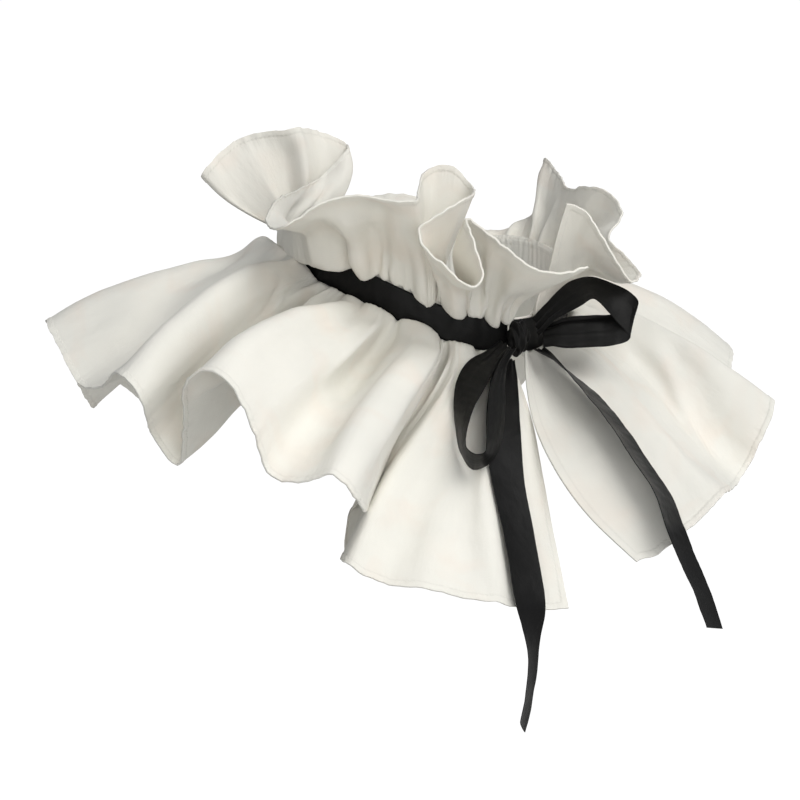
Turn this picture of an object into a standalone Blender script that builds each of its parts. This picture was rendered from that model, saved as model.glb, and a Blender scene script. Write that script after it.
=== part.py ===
"""Ruffled collar with a ribbon tied in a bow.

A gathered cape (the wide lower ruffle) and a gathered standing frill spring
from one neck ring.  A satin ribbon lies round the gathers and is tied in a bow
at the centre front, above the open slit.  Worn form, hollow, no wearer.
Metres, +Z up.  The wearer faces -Y, the wearer's right is -X.  Neck angles are
in degrees round the ring: 0 at the centre front, 90 at the wearer's right,
180 at the centre back, 270 at the wearer's left.
"""
import math
import bpy
import bmesh
import numpy as np
from mathutils import Vector

for item in list(bpy.data.objects):
    bpy.data.objects.remove(item, do_unlink=True)

# ------------------------------------------------------------------ sizes
NECK_HALF_WIDTH = 0.071
NECK_HALF_DEPTH = 0.069
NECK_FRONT_DROP = 0.029      # the ring lies lower at the front than at the shoulders
NECK_BACK_DROP = 0.014
NECK_SIDE_TILT = 0.0065      # and a little lower on the wearer's left
CAPE_LENGTH = 0.137
FRILL_HEIGHT = 0.064
WALL = 0.0012                # cotton with its turned hem, as one wall
RIBBON_WIDTH = 0.016
RIBBON_WALL = 0.0010
SEAM = 0.0003
BAND_HALF_HEIGHT = 0.0086    # the gathered band under the ribbon
BAND_OUT = -0.0012
RIBBON_OUT = 0.0002
CAPE_FROM_RING = 0.0100      # the cape's gathered edge lies this far under the ring line
FRILL_FROM_RING = 0.0094     # and the frill's this far over it
KNOT_HALF = (0.0060, 0.0042, 0.0078)
KNOT_OUT = 0.0060

# ------------------------------------------------------------------ folds
# One row for each ridge, dip or turn of the hem, in order along the cloth.
# neck: where the fold springs from, degrees round the ring
# heading: where its hem points in plan, degrees, same zero and sense
# rise: the hem's height over the level, degrees; reach: neck edge to hem, mm
# lift, sway: how far the fold bows up, and sideways (to greater headings), mm
COLUMNS = ("fold", "neck", "heading", "rise", "reach", "lift", "sway")
CAPE_FOLDS = (
    ("front edge right",   2,  21, -42, 137,  4,   0),
    ("face 6",             5,  26, -42, 137,  6,   0),
    ("ridge 6",            9,  33, -40, 137,  9,   0),
    ("dip 6",             13,  40, -38, 137,  4,   0),
    ("face 5",            17,  47, -36, 137,  6,   0),
    ("face 5 side",       20,  53, -36, 137,  6,   0),
    ("edge of face 5",  22.5,  59, -32, 137,  5,   0),
    ("turn 5",            24,  69, -42, 116,  4,   0),
    ("under ridge 4",   25.5,  72, -41,  97,  2,   0),
    ("deep 4",            27,  66, -41,  90,  2,   0),
    ("tip of ridge 4",  28.5,  56, -32, 109,  6,   0),
    ("ridge 4",           31,  50, -17, 137,  8,   0),
    ("ridge 4 side",      35,  51, -14, 137,  8,   0),
    ("dip 4",             40,  54, -17, 137,  5,   0),
    ("face 3",            46,  57, -18, 137,  6,   0),
    ("ridge 3 side",      51,  57, -10, 137,  6,   0),
    ("ridge 3 flank",     55,  58,  -4, 137,  6,   0),
    ("ridge 3",         58.5,  61,  -2, 137,  8,   0),
    ("top of ridge 3",    63,  63,  -5, 137,  6,   0),
    ("back of ridge 3",   69,  71, -22, 119,  0,   0),
    ("dip 3",             74,  77, -34, 119, -6,   0),
    ("face 2",            79,  75, -27, 122,  0,   0),
    ("ridge 2 side",      83,  66, -13, 137,  6,   0),
    ("ridge 2",           87,  68, -10, 137, 10,   0),
    ("dip 2",             95,  89, -21, 117,  2,   0),
    ("face 1",           102,  94, -21, 120,  4,   0),
    ("ridge 1 side",     109,  98, -14, 120,  8,   0),
    ("ridge 1",          117, 104,  -8, 121, 12,   0),
    ("back dip 1",       130, 139, -34, 132,  4,   0),
    ("back ridge 1",     142, 143, -22, 134, 10,   0),
    ("back dip 2",       154, 163, -40, 132,  4,   0),
    ("back ridge 2",     166, 168, -25, 134, 10,   0),
    ("back dip 3",       178, 189, -41, 132,  4,   0),
    ("back ridge 3",     190, 192, -26, 134, 10,   0),
    ("back dip 4",       202, 211, -40, 132,  4,   0),
    ("back ridge 4",     214, 214, -26, 134, 10,   0),
    ("back dip 5",       226, 235, -40, 132,  4,   0),
    ("back ridge 5",     238, 238, -25, 134, 10,   0),
    ("back dip 6",       249, 257, -38, 132,  4,   0),
    ("ridge 8",          260, 291, -20, 124, 14,   0),
    ("dip 8",            280, 323, -30, 109,  4,   0),
    ("ridge 7",          298, 341, -17, 124,  8,   0),
    ("ridge 7 side",     308, 343, -21, 122,  6,   0),
    ("dip 7",            319, 344, -30, 119,  3,   0),
    ("face 9",           328, 364, -22, 137,  6,   0),
    ("ridge 9",          335, 366, -24, 137,  7,   0),
    ("ridge 9 side",     341, 368, -26, 137,  6,   2),
    ("dip 9",            347, 370, -29, 137,  4,   8),
    ("front edge left",  353, 373, -30, 137,  4,  18),
)
FRILL_FOLDS = (
    ("front edge right",   1,  -2, 28,  64, 0, 0),
    ("lap",                4,   9, 26,  64, 0, 0),
    ("lap side",           8,  18, 28,  64, 0, 0),
    ("lap crest",         12,  26, 37,  64, 2, 0),
    ("lap end",         15.2,  36, 46,  64, 2, 0),
    ("mouth top",       16.2,  39, 49,  64, 0, 7),
    ("mouth side",        17,  35, 38,  64, 0, 6),
    ("mouth corner",      18,  30, 23,  64, 0, 2),
    ("mouth foot",        20,  31, 18,  64, 2, 0),
    ("mouth rim",       22.5,  34, 19,  64, 3, 0),
    ("mouth rim side",  25.5,  37, 24,  64, 3, 0),
    ("mouth turn",      27.7,  43, 30,  64, 2, 0),
    ("mouth end",       28.8,  46, 38,  64, 0, 0),
    ("roll front",      29.3,  33, 47,  64, 2, 0),
    ("roll lip",        29.8,  17, 53,  64, 2, 0),
    ("roll side",       30.3, -73, 73,  56, 0, 0),
    ("roll top",        31.2, -90, 81,  62, 0, 0),
    ("roll crest",      32.2, 208, 85,  60, 0, 0),
    ("roll back",       33.6,  52, 75,  54, 0, 0),
    ("ruffle start",      36,  40, 48,  64, 2, 0),
    ("ruffle",            42,  44, 45,  64, 3, 0),
    ("ruffle crest",      50,  50, 42,  64, 4, 0),
    ("ruffle face",       58,  54, 34,  64, 4, 0),
    ("ruffle side",       66,  54, 23,  64, 4, 0),
    ("ruffle tip",        73,  55, 16,  64, 3, 0),
    ("ruffle turn",       81,  69, 20,  42, 2, 0),
    ("hood lip start",    93,  74, 43,  26, 0, 0),
    ("hood lip",         108, 224, 36,  32, 0, 0),
    ("hood lip side",    130, 240, 36,  48, 0, 5),
    ("hood lip end",     149, 256, 55,  56, 0, 11),
    ("hood turn",      152.5, 246, 54,  62, 0, 13),
    ("hood back",        154, 223, 60,  65, 0, 8),
    ("hood crest",     155.5, 177, 75,  62, 0, 3),
    ("hood side",      156.7, 142, 54,  68, -2, 0),
    ("hood tip",         158, 122, 34,  69, -5, -4),
    ("behind the hood",  168, 155, 28,  64, 0, 0),
    ("back dip 1",       179, 180, 16,  62, 0, 0),
    ("back ridge 1",     190, 210, 20,  64, 0, 0),
    ("back ridge 2",     197, 216, 22,  64, 0, 0),
    ("back side",        204, 222, 18,  64, 0, 0),
    ("back dip 2",       212, 214, -1,  62, 0, 0),
    ("back ridge 3",     221, 223, -14, 62, 0, 0),
    ("back dip 3",       231, 234, -2,  62, 0, 0),
    ("back ridge 4",     241, 244, -14, 62, 0, 0),
    ("back dip 4",       251, 247,  9,  62, 0, 0),
    ("left tip",         262, 234, 46,  54, 0, 0),
    ("left tip side",    268, 255, 59,  40, 0, 0),
    ("curl start",       274, 335, 63,  33, 0, 0),
    ("curl top",         280, 350, 55,  41, 0, 0),
    ("curl",             286, 347, 48,  46, 0, 0),
    ("curl side",        292, 346, 34,  46, 0, 0),
    ("curl dip",         298, 361, 26,  40, 0, 0),
    ("flap under",       304, 358, 16,  46, 0, 0),
    ("flap turn",        310, 360,  9,  57, 0, 0),
    ("flap tip",         315, 368,  9,  61, 0, 0),
    ("flap hem",         322, 375, 23,  64, 0, 0),
    ("flap side",        330, 376, 39,  64, 0, 0),
    ("flap crest",       338, 373, 53,  64, 0, 0),
    ("front edge left",  348, 369, 60,  64, 0, 0),
)

# The bow.  x, y, z: the middle of the ribbon, mm; heading, rise: which way its
# width points; width: mm across, narrow where the knot crushes it.
BOW_COLUMNS = ("place", "x", "y", "z", "heading", "rise", "width")
RIGHT_LOOP = (
    ("start",          9,  -77, -24,  22, -35,  8),
    ("upper",         14,  -84, -15,  22, -38, 13),
    ("upper end",     22,  -90,  -8,  18, -38, 16),
    ("top bend",      28,  -95,  -5,  36, -30, 16),
    ("over",          33, -100,  -8,  58, -32, 16),
    ("outer",         38, -105, -13,  80, -44, 16),
    ("turn",          41, -110, -20,  75, -68, 16),
    ("lower end",     34, -105, -24,  44, -57, 16),
    ("lower",         25,  -98, -25,  40, -57, 16),
    ("lower start",   15,  -90, -26,  40, -56, 15),
    ("end",            9,  -83, -28,  40, -46,  9),
)
LEFT_LOOP = (
    ("start",         -9,  -77, -31,  12,  -8,  8),
    ("outer start",  -20,  -82, -34,   2, -12, 12),
    ("outer",        -32,  -88, -38,  -8, -18, 16),
    ("outer side",   -43,  -95, -44, -10, -12, 16),
    ("outer lower",  -52, -103, -51,   4,   4, 16),
    ("outer foot",   -58, -110, -59,  17,  12, 16),
    ("foot side",    -62, -117, -66,  27,  25, 16),
    ("foot",         -61, -124, -70,  33,  40, 16),
    ("inner foot",   -56, -127, -68,  48,  30, 16),
    ("inner lower",  -50, -123, -62,  62,  16, 16),
    ("inner",        -41, -113, -51,  66,   6, 16),
    ("inner side",   -32, -102, -42,  62,   4, 16),
    ("inner start",  -19,  -90, -35,  58,   6, 11),
    ("end",          -10,  -83, -32,  56,   8,  8),
)
# The tails lie on the front panels, moved out from them.  edge: mm along the
# hem from that panel's front edge; down: share of the cape's length; off: mm
# clear of the panel; roll: degrees the ribbon is turned on its edge; hang: mm
# straight down from there; aside: mm to the wearer's left; width: mm.
TAIL_COLUMNS = ("place", "edge", "down", "off", "roll", "hang", "aside", "width")
RIGHT_SIDE_TAIL = (
    ("knot",        13, 0.05, 4.6,   0,  0,   0,  9),
    ("upper",       27, 0.13, 4.4,   0,  0,   0, 13),
    ("middle",      33, 0.36, 3.8,   0,  0,   0, 16),
    ("lower",       29, 0.58, 3.4,   0,  0,   0, 16),
    ("near hem",    23, 0.78, 3.4,   0,  0,   0, 16),
    ("hem",         20, 1.00, 4.0,   8,  0,   0, 16),
    ("below hem",   20, 1.00, 5.0,  32, 12,   0, 16),
    ("hanging",     20, 1.00, 5.0,  47, 26,   1, 16),
    ("end side",    20, 1.00, 5.0,  52, 43,  -1, 16),
    ("end",         20, 1.00, 5.0,  55, 55,  -4, 16),
)
LEFT_SIDE_TAIL = (
    ("knot",        13, 0.03, 5.8,  10,  0,   0,  9),
    ("upper",       17, 0.14, 9.0,  46,  0,   0, 13),
    ("upper side",  23, 0.36, 9.4,  45,  0,   0, 16),
    ("middle",      25, 0.57, 9.6,  48,  0,   0, 16),
    ("lower",       25, 0.75, 9.8,  50,  0,   0, 16),
    ("near hem",    25, 0.88, 9.8,  51,  0,   0, 16),
    ("hem",         22, 1.00, 9.8,  52,  0,   0, 16),
    ("below hem",   22, 1.00, 9.8,  52, 14,   7, 16),
    ("hanging",     22, 1.00, 9.8,  54, 32,  17, 16),
    ("end",         22, 1.00, 9.8,  56, 50,  25, 16),
)


# ------------------------------------------------------------------ cloth
def ring(angle, out=0.0, up=0.0):
    """A point of the neck ring, a saddle that lies on the shoulders."""
    t = np.radians(angle)
    tip = (NECK_FRONT_DROP - NECK_BACK_DROP) / 2
    sag = (NECK_FRONT_DROP + NECK_BACK_DROP) / 4
    z = -tip * np.cos(t) - sag * np.cos(2 * t) - sag + NECK_SIDE_TILT * np.sin(t)
    return np.stack([-(NECK_HALF_WIDTH + out) * np.sin(t),
                     -(NECK_HALF_DEPTH + out) * np.cos(t), z + up], -1)


def aim(heading, rise):
    h, r = np.radians(heading), np.radians(rise)
    return np.stack([-np.sin(h) * np.cos(r), -np.cos(h) * np.cos(r), np.sin(r)], -1)


def smooth(knots, count):
    """count points evenly spaced along a smooth curve through the knots (the
    first three columns are the place, the others follow it)."""
    p = np.vstack([2 * knots[0] - knots[1], knots, 2 * knots[-1] - knots[-2]])
    t = np.concatenate([[0], np.cumsum(np.linalg.norm(np.diff(p[:, :3], axis=0), axis=1) ** 0.5)])
    fine = []
    for i in range(1, len(p) - 2):
        t0, t1, t2, t3 = t[i - 1:i + 3]
        for u in np.linspace(t1, t2, 24, endpoint=False):
            a1 = ((t1 - u) * p[i - 1] + (u - t0) * p[i]) / (t1 - t0)
            a2 = ((t2 - u) * p[i] + (u - t1) * p[i + 1]) / (t2 - t1)
            a3 = ((t3 - u) * p[i + 1] + (u - t2) * p[i + 2]) / (t3 - t2)
            b1 = ((t2 - u) * a1 + (u - t0) * a2) / (t2 - t0)
            b2 = ((t3 - u) * a2 + (u - t1) * a3) / (t3 - t1)
            fine.append(((t2 - u) * b1 + (u - t1) * b2) / (t2 - t1))
    fine = np.array(fine + [p[-2]])
    run = np.concatenate([[0], np.cumsum(np.linalg.norm(np.diff(fine[:, :3], axis=0), axis=1))])
    at = np.linspace(0, run[-1], count)
    return np.stack([np.interp(at, run, fine[:, k]) for k in range(fine.shape[1])], 1), run[-1]


def ruffle(folds, edge_up, edge_out, first_rise, threads, across):
    """Grid of points [threads][across] of a gathered strip: each thread runs
    from the neck edge to the hem, square to it."""
    table = {name: np.array([row[i] for row in folds], dtype=float)
             for i, name in enumerate(COLUMNS) if name != "fold"}
    start = ring(table["neck"], edge_out, edge_up)
    hem = start + table["reach"][:, None] / 1000 * aim(table["heading"], table["rise"])
    knots = np.column_stack([hem, table["neck"], table["lift"], table["sway"]])
    line, cut = smooth(knots, threads)
    neck, lift, sway = line[:, 3], line[:, 4] / 1000, line[:, 5] / 1000
    start = ring(neck, edge_out, edge_up)
    chord = line[:, :3] - start
    reach = np.linalg.norm(chord, axis=1)
    flat = chord * [1, 1, 0]
    flat /= np.linalg.norm(flat, axis=1)[:, None] + 1e-9
    side = np.stack([flat[:, 1], -flat[:, 0], np.zeros(len(neck))], -1)
    along = chord / reach[:, None]
    over = np.cross(side, along)
    over *= np.sign(over[:, 2:3] + 1e-9)
    first = aim(neck, first_rise(neck))
    grid = []
    for r in across:
        settle = 1 - (1 - r) ** 3
        bow = 4 * r * (1 - r)
        grid.append(start + r * ((1 - settle) * first * reach[:, None] + settle * chord)
                    + bow * (lift[:, None] * over + sway[:, None] * side))
    return np.array(grid).transpose(1, 0, 2), cut


def cape_first_rise(neck):
    """The cape leaves the ring steep down the chest, flat over the shoulders and
    rising at the wearer's right, where it laps the ribbon."""
    return (-12 - 28 * np.exp(-(((neck + 180) % 360 - 180) / 34.0) ** 2)
            + 30 * np.exp(-((neck - 97) / 26.0) ** 2))


def frill_first_rise(neck):
    return 48 + 0 * neck


# ------------------------------------------------------------------ Blender helpers
COLLAR = bpy.data.collections.new("ruffled_collar")
bpy.context.scene.collection.children.link(COLLAR)
HOLDER = bpy.data.objects.new("collar_origin", None)
COLLAR.objects.link(HOLDER)


def finish(name, color, roughness):
    mat = bpy.data.materials.new(name)
    mat.use_nodes = True
    shader = mat.node_tree.nodes["Principled BSDF"]
    shader.inputs["Base Color"].default_value = (*color, 1)
    shader.inputs["Roughness"].default_value = roughness
    shader.inputs["Metallic"].default_value = 0.0
    return mat


def sheet(name, points, wall, mat):
    """A wall of the given thickness on a grid of points: a Blender grid moved
    onto them, then thickened by a Solidify modifier."""
    rows, cols = points.shape[:2]
    bm = bmesh.new()
    bmesh.ops.create_grid(bm, x_segments=rows - 1, y_segments=cols - 1, size=1.0)
    for v in bm.verts:
        i = int(round((v.co.x + 1) / 2 * (rows - 1)))
        j = int(round((v.co.y + 1) / 2 * (cols - 1)))
        v.co = Vector(points[i, j])
    mesh = bpy.data.meshes.new(name)
    bm.to_mesh(mesh)
    bm.free()
    obj = bpy.data.objects.new(name, mesh)
    COLLAR.objects.link(obj)
    obj.parent = HOLDER
    mesh.materials.append(mat)
    thick = obj.modifiers.new("wall", 'SOLIDIFY')
    thick.thickness = wall
    thick.offset = 0.0
    thick.use_even_offset = False
    return obj


# ------------------------------------------------------------------ ribbon
def columns(table, names):
    return {n: np.array([row[i] for row in table], dtype=float)
            for i, n in enumerate(names) if i}


def strip(middle, across, width, share=(-1, 1)):
    """Grid of a ribbon: its middle line moved half a width each way."""
    across = across / np.linalg.norm(across, axis=1)[:, None]
    return np.stack([middle + s * across * width[:, None] / 2 for s in share], 1)


def loop_grid(table, count):
    c = columns(table, BOW_COLUMNS)
    knots = np.column_stack([np.stack([c["x"], c["y"], c["z"]], 1) / 1000,
                             aim(c["heading"], c["rise"]), c["width"] / 1000])
    line, length = smooth(knots, count)
    return strip(line[:, :3], line[:, 3:6], line[:, 6]), length


def panel_at(grid, cut, edge, down, across):
    """A point of a ruffle grid, with its direction along the hem and its outer normal."""
    threads, n = grid.shape[0], len(across)
    def point(e, d):
        a = np.clip(e / cut * (threads - 1), 0, threads - 1.001)
        i = int(a)
        row = grid[i] * (1 - (a - i)) + grid[i + 1] * (a - i)
        return np.array([np.interp(d, across, row[:, k]) for k in range(3)])
    here = point(edge, down)
    hemward = point(edge, min(down + 0.04, 1.0)) - point(edge, max(down - 0.04, 0.0))
    along = point(edge + 0.006, down) - point(edge - 0.006, down)
    along /= np.linalg.norm(along)
    normal = np.cross(along, hemward)
    normal /= np.linalg.norm(normal)
    return here, along, normal


def tail_grid(table, grid, cut, across, from_left, count):
    knots = []
    for place, edge, down, off, roll, hang, aside, width in table:
        e = cut - edge / 1000 if from_left else edge / 1000
        here, along, normal = panel_at(grid, cut, e, down, across)
        turn = math.radians(roll)
        wide = along * math.cos(turn) + normal * math.sin(turn)
        spot = here + normal * off / 1000 + np.array([aside / 1000, 0, -hang / 1000])
        knots.append([*spot, *wide, width / 1000])
    line, length = smooth(np.array(knots), count)
    return strip(line[:, :3], line[:, 3:6], line[:, 6]), length


# ------------------------------------------------------------------ build
CAPE_THREADS, CAPE_ACROSS = 130, np.array([0, .08, .18, .32, .48, .66, .84, 1.0])
FRILL_THREADS, FRILL_ACROSS = 112, np.array([0, .15, .35, .6, .8, 1.0])
cape_grid, CAPE_CUT = ruffle(CAPE_FOLDS, -CAPE_FROM_RING, BAND_OUT, cape_first_rise,
                             CAPE_THREADS, CAPE_ACROSS)
frill_grid, FRILL_CUT = ruffle(FRILL_FOLDS, FRILL_FROM_RING, BAND_OUT, frill_first_rise,
                               FRILL_THREADS, FRILL_ACROSS)
cotton = finish("white cotton", (0.86, 0.85, 0.80), 0.85)
frill_cotton = finish("frill cotton", (0.88, 0.86, 0.81), 0.85)
band_cotton = finish("band cotton", (0.84, 0.83, 0.78), 0.85)
satin = finish("black satin", (0.010, 0.010, 0.010), 0.38)
tail_satin = finish("black satin tail", (0.014, 0.014, 0.016), 0.36)

sheet("cape", cape_grid, WALL, cotton)
sheet("frill", frill_grid, WALL, frill_cotton)

band_angles = np.linspace(3, 357, 65)
band = np.stack([ring(band_angles, BAND_OUT, h * BAND_HALF_HEIGHT) for h in (-1, 1)], 1)
sheet("neckband", band, WALL, band_cotton)

ribbon_angles = np.linspace(6, 354, 65)
around = np.stack([ring(ribbon_angles, RIBBON_OUT, h * RIBBON_WIDTH / 2) for h in (-1, 1)], 1)
sheet("ribbon_band", around, RIBBON_WALL, satin)

bm = bmesh.new()
bmesh.ops.create_uvsphere(bm, u_segments=16, v_segments=10, radius=1.0)
for v in bm.verts:
    pinch = 1 - 0.10 * math.cos(3 * math.atan2(v.co.z, v.co.x))
    v.co = Vector((v.co.x * KNOT_HALF[0] * pinch, v.co.y * KNOT_HALF[1], v.co.z * KNOT_HALF[2] * pinch))
knot_mesh = bpy.data.meshes.new("bow_knot")
bm.to_mesh(knot_mesh)
bm.free()
knot = bpy.data.objects.new("bow_knot", knot_mesh)
COLLAR.objects.link(knot)
knot.parent = HOLDER
knot_mesh.materials.append(satin)
knot.location = Vector(ring(np.array(0.0), KNOT_OUT, 0.0))
knot.rotation_euler = (0.0, math.radians(14), 0.0)

right_loop, RIGHT_LOOP_LENGTH = loop_grid(RIGHT_LOOP, 38)
left_loop, LEFT_LOOP_LENGTH = loop_grid(LEFT_LOOP, 44)
sheet("bow_loop_left_side", right_loop, RIBBON_WALL, satin)
sheet("bow_loop_right_side", left_loop, RIBBON_WALL, satin)
tail_a, TAIL_A_LENGTH = tail_grid(RIGHT_SIDE_TAIL, cape_grid, CAPE_CUT, CAPE_ACROSS, False, 38)
tail_b, TAIL_B_LENGTH = tail_grid(LEFT_SIDE_TAIL, cape_grid, CAPE_CUT, CAPE_ACROSS, True, 34)
sheet("ribbon_tail_right_side", tail_a, RIBBON_WALL, tail_satin)
sheet("ribbon_tail_left_side", tail_b, RIBBON_WALL, tail_satin)
print("cuts, m: cape %.3f frill %.3f loops %.3f %.3f tails %.3f %.3f" % (
    CAPE_CUT, FRILL_CUT, RIGHT_LOOP_LENGTH, LEFT_LOOP_LENGTH, TAIL_A_LENGTH, TAIL_B_LENGTH))
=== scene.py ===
"""Looks of the ruffled collar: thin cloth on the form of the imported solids.

Metres, in the frame's own axes.  The wearer faces -Y and the wearer's right is
-X.  Neck angles are in degrees round the ring: 0 at the centre front, 90 at the
wearer's right, 180 at the back, 270 (or -90) at the wearer's left.
"""
import math

import bpy
import numpy as np
from mathutils import Matrix, Vector


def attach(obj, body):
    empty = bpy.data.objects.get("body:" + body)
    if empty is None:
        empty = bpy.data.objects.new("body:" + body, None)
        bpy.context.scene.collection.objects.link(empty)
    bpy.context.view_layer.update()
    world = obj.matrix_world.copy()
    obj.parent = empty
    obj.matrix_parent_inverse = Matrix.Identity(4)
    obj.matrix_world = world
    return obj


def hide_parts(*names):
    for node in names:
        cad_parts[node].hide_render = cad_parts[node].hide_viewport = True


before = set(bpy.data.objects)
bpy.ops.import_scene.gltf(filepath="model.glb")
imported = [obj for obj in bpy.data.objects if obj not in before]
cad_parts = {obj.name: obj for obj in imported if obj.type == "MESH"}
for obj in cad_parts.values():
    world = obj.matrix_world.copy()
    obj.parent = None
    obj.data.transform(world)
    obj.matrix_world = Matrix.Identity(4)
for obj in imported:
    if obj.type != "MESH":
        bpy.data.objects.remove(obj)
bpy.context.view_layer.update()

# ------------------------------------------------------------------ camera
VIEW_AZ, VIEW_EL, VIEW_LENS = -35.0, 8.0, 85.0
PIXELS_PER_METRE = 2000.0            # at the origin
ORIGIN_AT = (426.24, 258.57)         # where the origin shows, pixels of 800
FOCAL = VIEW_LENS / 36.0 * 800.0
CAMERA_AWAY = FOCAL / PIXELS_PER_METRE


def camera_axes(az, el):
    a, e = math.radians(az), math.radians(el)
    back = Vector((math.sin(a) * math.cos(e), -math.cos(a) * math.cos(e), math.sin(e)))
    right = Vector((math.cos(a), math.sin(a), 0.0))
    return right, back.cross(right), back


right, up, back = camera_axes(VIEW_AZ, VIEW_EL)
eye = back * CAMERA_AWAY
# the line of sight through the middle of the picture
sight = (-back * FOCAL + right * (400 - ORIGIN_AT[0]) + up * (ORIGIN_AT[1] - 400)).normalized()
to_eye = -sight
side = (right - to_eye * right.dot(to_eye)).normalized()
top = to_eye.cross(side)
cam_data = bpy.data.cameras.new("photo_camera")
cam_data.lens = VIEW_LENS
cam_data.sensor_width = 36.0
cam_data.clip_start, cam_data.clip_end = 0.01, 50.0
cam = bpy.data.objects.new("photo_camera", cam_data)
bpy.context.scene.collection.objects.link(cam)
pose = Matrix.Identity(4)
for col, axis in enumerate((side, top, to_eye, eye)):
    for row in range(3):
        pose[row][col] = axis[row]
cam.matrix_world = pose
bpy.context.scene.camera = cam

# ------------------------------------------------------------------ sizes, as in the CAD
NECK_HALF_WIDTH = 0.071
NECK_HALF_DEPTH = 0.069
NECK_FRONT_DROP = 0.029
NECK_BACK_DROP = 0.014
NECK_SIDE_TILT = 0.0065
CAPE_LENGTH = 0.137
FRILL_HEIGHT = 0.064
RIBBON_WIDTH = 0.016
BAND_HALF_HEIGHT = 0.0086
BAND_OUT = -0.0012
RIBBON_OUT = 0.0002
CAPE_FROM_RING = 0.0100
FRILL_FROM_RING = 0.0094
KNOT_HALF = (0.0060, 0.0042, 0.0078)
KNOT_OUT = 0.0060
CLOTH = 0.00042                      # one thickness of the cotton, drawn a little full
HEM = 0.0031                         # width of the turned hem
HEM_CLOTH = 0.00095
SATIN = 0.00034

COLUMNS = ("fold", "neck", "heading", "rise", "reach", "lift", "sway")
CAPE_FOLDS = (
    ("front edge right",   2,  21, -42, 137,  4,   0),
    ("face 6",             5,  26, -42, 137,  6,   0),
    ("ridge 6",            9,  33, -40, 137,  9,   0),
    ("dip 6",             13,  40, -38, 137,  4,   0),
    ("face 5",            17,  47, -36, 137,  6,   0),
    ("face 5 side",       20,  53, -36, 137,  6,   0),
    ("edge of face 5",  22.5,  59, -32, 137,  5,   0),
    ("turn 5",            24,  69, -42, 116,  4,   0),
    ("under ridge 4",   25.5,  72, -41,  97,  2,   0),
    ("deep 4",            27,  66, -41,  90,  2,   0),
    ("tip of ridge 4",  28.5,  56, -32, 109,  6,   0),
    ("ridge 4",           31,  50, -17, 137,  8,   0),
    ("ridge 4 side",      35,  51, -14, 137,  8,   0),
    ("dip 4",             40,  54, -17, 137,  5,   0),
    ("face 3",            46,  57, -18, 137,  6,   0),
    ("ridge 3 side",      51,  57, -10, 137,  6,   0),
    ("ridge 3 flank",     55,  58,  -4, 137,  6,   0),
    ("ridge 3",         58.5,  61,  -2, 137,  8,   0),
    ("top of ridge 3",    63,  63,  -5, 137,  6,   0),
    ("back of ridge 3",   69,  71, -22, 119,  0,   0),
    ("dip 3",             74,  77, -34, 119, -6,   0),
    ("face 2",            79,  75, -27, 122,  0,   0),
    ("ridge 2 side",      83,  66, -13, 137,  6,   0),
    ("ridge 2",           87,  68, -10, 137, 10,   0),
    ("dip 2",             95,  89, -21, 117,  2,   0),
    ("face 1",           102,  94, -21, 120,  4,   0),
    ("ridge 1 side",     109,  98, -14, 120,  8,   0),
    ("ridge 1",          117, 104,  -8, 121, 12,   0),
    ("back dip 1",       130, 139, -34, 132,  4,   0),
    ("back ridge 1",     142, 143, -22, 134, 10,   0),
    ("back dip 2",       154, 163, -40, 132,  4,   0),
    ("back ridge 2",     166, 168, -25, 134, 10,   0),
    ("back dip 3",       178, 189, -41, 132,  4,   0),
    ("back ridge 3",     190, 192, -26, 134, 10,   0),
    ("back dip 4",       202, 211, -40, 132,  4,   0),
    ("back ridge 4",     214, 214, -26, 134, 10,   0),
    ("back dip 5",       226, 235, -40, 132,  4,   0),
    ("back ridge 5",     238, 238, -25, 134, 10,   0),
    ("back dip 6",       249, 257, -38, 132,  4,   0),
    ("ridge 8",          260, 291, -20, 124, 14,   0),
    ("dip 8",            280, 323, -30, 109,  4,   0),
    ("ridge 7",          298, 341, -17, 124,  8,   0),
    ("ridge 7 side",     308, 343, -21, 122,  6,   0),
    ("dip 7",            319, 344, -30, 119,  3,   0),
    ("face 9",           328, 364, -22, 137,  6,   0),
    ("ridge 9",          335, 366, -24, 137,  7,   0),
    ("ridge 9 side",     341, 368, -26, 137,  6,   2),
    ("dip 9",            347, 370, -29, 137,  4,   8),
    ("front edge left",  353, 373, -30, 137,  4,  18),
)
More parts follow.
